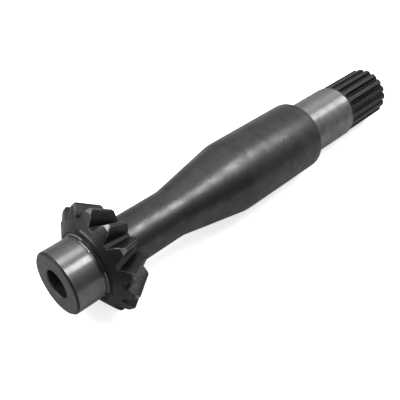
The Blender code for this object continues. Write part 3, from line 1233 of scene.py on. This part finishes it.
@dataclass
class Studio:
    """A pale floor in a white room, with two strip lights and a dim side that the steel mirrors.

    Attributes:
        lights: The lights.
        floor_half: Half the width of the floor, in metres.
        ambient: Brightness of the room for all that isn't seen or mirrored.
        dim_side: The direction of the studio's unlit side.
        dim_spread: Degrees from there at which it starts and at which it is full.
        dim_level: Brightness of that side in the steel, where the ceiling is 1.
        panel_side: The direction of a white panel low beside the nose.
        panel_spread: Degrees from there at which it starts and at which it is full.
        panel_level: Its brightness in the steel, over that of the walls.
        horizon_level: Brightness of the walls in the steel, near the floor.
        ceiling_start: How far up a direction points where the ceiling starts; straight up is 1.
        floor_colour: The floor's own colour.
        floor_gap: How far the floor lies under the shaft, so that no faces share a plane.
        mirrored_floor: The floor's colour as the steel mirrors it.
        floor_lift: Share of white that the seen floor has of its own, which keeps its shadow faint.
    """

    lights: list[StripLight] = field(
        default_factory=lambda: [
            StripLight("key_strip", (0.47, -0.235, 0.94), (0.74, 0.38), watts=5.5, turn=8.0),
            StripLight("back_strip", (-0.45, 0.38, 0.9), (0.8, 0.38), watts=10.5),
        ]
    )
    floor_half: float = 3.0
    ambient: float = 0.7
    dim_side: tuple[float, float, float] = (0.3, -0.88, 0.36)
    dim_spread: tuple[float, float] = (38.0, 10.0)
    dim_level: float = 0.25
    panel_side: tuple[float, float, float] = (-0.72, 0.68, 0.14)
    panel_spread: tuple[float, float] = (34.0, 16.0)
    panel_level: float = 3.4
    horizon_level: float = 0.5
    ceiling_start: float = 0.75
    floor_colour: str = "#F2F2F2"
    floor_gap: float = 0.0002
    mirrored_floor: str = "#9C9C9C"
    floor_lift: float = 0.6

    def build(self) -> None:
        """Set up the floor, the world and the lights."""
        self._floor()
        self._world()
        for light in self.lights:
            light.build()
        LOG.info("studio: floor, world and %d lights", len(self.lights))

    def _floor(self) -> None:
        """Lay the pale floor, a paper sheet that reads as white and keeps the shaft's shadow."""
        half = self.floor_half
        mesh = bpy.data.meshes.new("studio_floor")
        corners = [(-half, -half, 0.0), (half, -half, 0.0), (half, half, 0.0), (-half, half, 0.0)]
        mesh.from_pydata(corners, [], [(0, 1, 2, 3)])
        # Uncoated paper scatters light evenly, so the floor has no sheen.
        paper = bpy.data.materials.new("matt_white_paper")
        paper.use_nodes = True
        tree = paper.node_tree
        shader = tree.nodes["Principled BSDF"]
        shader.inputs["Roughness"].default_value = 0.9
        rays = add_node(tree, "ShaderNodeLightPath").outputs
        sheet = add_node(
            tree,
            "ShaderNodeMix",
            {"data_type": "RGBA", 6: linear(self.floor_colour), 7: linear(self.mirrored_floor)},
            {0: rays["Is Glossy Ray"]},
        ).outputs[2]
        tree.links.new(sheet, shader.inputs["Base Color"])
        shader.inputs["Emission Color"].default_value = linear(WHITE)
        lift = add_node(
            tree,
            "ShaderNodeMath",
            {"operation": "MULTIPLY", 1: self.floor_lift},
            {0: rays["Is Camera Ray"]},
        ).outputs[0]
        tree.links.new(lift, shader.inputs["Emission Strength"])
        mesh.materials.append(paper)
        floor = bpy.data.objects.new("studio_floor", mesh)
        bpy.context.scene.collection.objects.link(floor)
        floor.location.z = -self.floor_gap

    def _world(self) -> None:
        """Make the white surround, which the steel mirrors with darker walls and one dim side."""
        world = bpy.data.worlds.new("white_studio")
        bpy.context.scene.world = world
        world.use_nodes = True
        tree = world.node_tree
        direction = add_node(tree, "ShaderNodeTexCoord").outputs["Generated"]
        rays = add_node(tree, "ShaderNodeLightPath").outputs
        dim = self._patch(tree, direction, self.dim_side, self.dim_spread, self.dim_level)
        panel = self._patch(tree, direction, self.panel_side, self.panel_spread, self.panel_level)
        height = add_node(tree, "ShaderNodeSeparateXYZ", None, {0: direction}).outputs["Z"]
        walls = add_node(
            tree,
            "ShaderNodeMapRange",
            {"interpolation_type": "SMOOTHSTEP", 2: self.ceiling_start, 3: self.horizon_level, 4: 1.0},
            {0: height},
        ).outputs[0]
        sides = add_node(tree, "ShaderNodeMath", {"operation": "MULTIPLY"}, {0: dim, 1: panel}).outputs[0]
        mirrored = add_node(
            tree, "ShaderNodeMath", {"operation": "MULTIPLY"}, {0: sides, 1: walls}
        ).outputs[0]
        seen = add_node(
            tree,
            "ShaderNodeMath",
            {"operation": "MAXIMUM"},
            {0: rays["Is Camera Ray"], 1: rays["Is Transmission Ray"]},
        ).outputs[0]
        plain = add_node(tree, "ShaderNodeMapRange", {3: self.ambient, 4: 1.0}, {0: seen}).outputs[0]
        strength = add_node(
            tree, "ShaderNodeMix", {"data_type": "FLOAT"}, {0: rays["Is Glossy Ray"], 2: plain, 3: mirrored}
        ).outputs[0]
        background = tree.nodes["Background"]
        background.inputs["Color"].default_value = linear(WHITE)
        tree.links.new(strength, background.inputs["Strength"])

    @staticmethod
    def _patch(
        tree: bpy.types.NodeTree,
        direction: bpy.types.NodeSocket,
        side: tuple[float, float, float],
        spread: tuple[float, float],
        level: float,
    ) -> bpy.types.NodeSocket:
        """Dim or brighten the surround on one side.

        Args:
            tree: The world's nodes.
            direction: The direction looked in.
            side: The middle of the patch.
            spread: Degrees from there at which it starts and at which it is full.
            level: Its brightness, where the surround is 1.

        Returns:
            A socket that is 1 outside the patch.
        """
        facing = add_node(
            tree,
            "ShaderNodeVectorMath",
            {"operation": "DOT_PRODUCT", 1: Vector(side).normalized()},
            {0: direction},
        ).outputs["Value"]
        start, full = (cos(radians(angle)) for angle in spread)
        return add_node(
            tree,
            "ShaderNodeMapRange",
            {"interpolation_type": "SMOOTHSTEP", 1: start, 2: full, 3: 1.0, 4: level},
            {0: facing},
        ).outputs[0]


@dataclass(frozen=True)
class Camera:
    """The photograph's camera, in metres and degrees.

    Attributes:
        place: Where it stands.
        turn: Which way it looks on the compass, anticlockwise from +X.
        down: How far it looks down.
        roll: How far its right side is raised.
        lens_mm: Its focal length.
        sensor_mm: Width of its square picture.
        nearest: The nearest that it sees.
    """

    place: tuple[float, float, float] = (-0.24587, -0.17429, 0.32115)
    turn: float = 40.231
    down: float = 47.675
    roll: float = 6.951
    lens_mm: float = 54.617
    sensor_mm: float = 36.0
    nearest: float = 0.01

    def build(self) -> bpy.types.Object:
        """Set up the camera and make it the scene's own.

        Returns:
            The camera.
        """
        data = bpy.data.cameras.new("photo_camera")
        data.sensor_width = self.sensor_mm
        data.lens = self.lens_mm
        data.clip_start = self.nearest
        camera = bpy.data.objects.new("photo_camera", data)
        bpy.context.scene.collection.objects.link(camera)
        heading = Matrix.Rotation(radians(self.turn - 90), 4, "Z")
        tilt = Matrix.Rotation(radians(90 - self.down), 4, "X")
        roll = Matrix.Rotation(radians(self.roll), 4, "Z")
        camera.matrix_world = Matrix.Translation(self.place) @ heading @ tilt @ roll
        bpy.context.scene.camera = camera
        LOG.info("camera: %.1f mm lens, looking %.1f degrees down", self.lens_mm, self.down)
        return camera


def main() -> None:
    """Load the frame, dress the shaft, set up its photograph and note how far the shaft's box is off the
    packed one.
    """
    logging.basicConfig(level=logging.INFO, format="%(name)s %(message)s")
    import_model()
    PinionShaft().build()
    Studio().build()
    Camera().build()
    bpy.context.scene.view_settings.view_transform = "Standard"


if __name__ == "__main__":
    main()
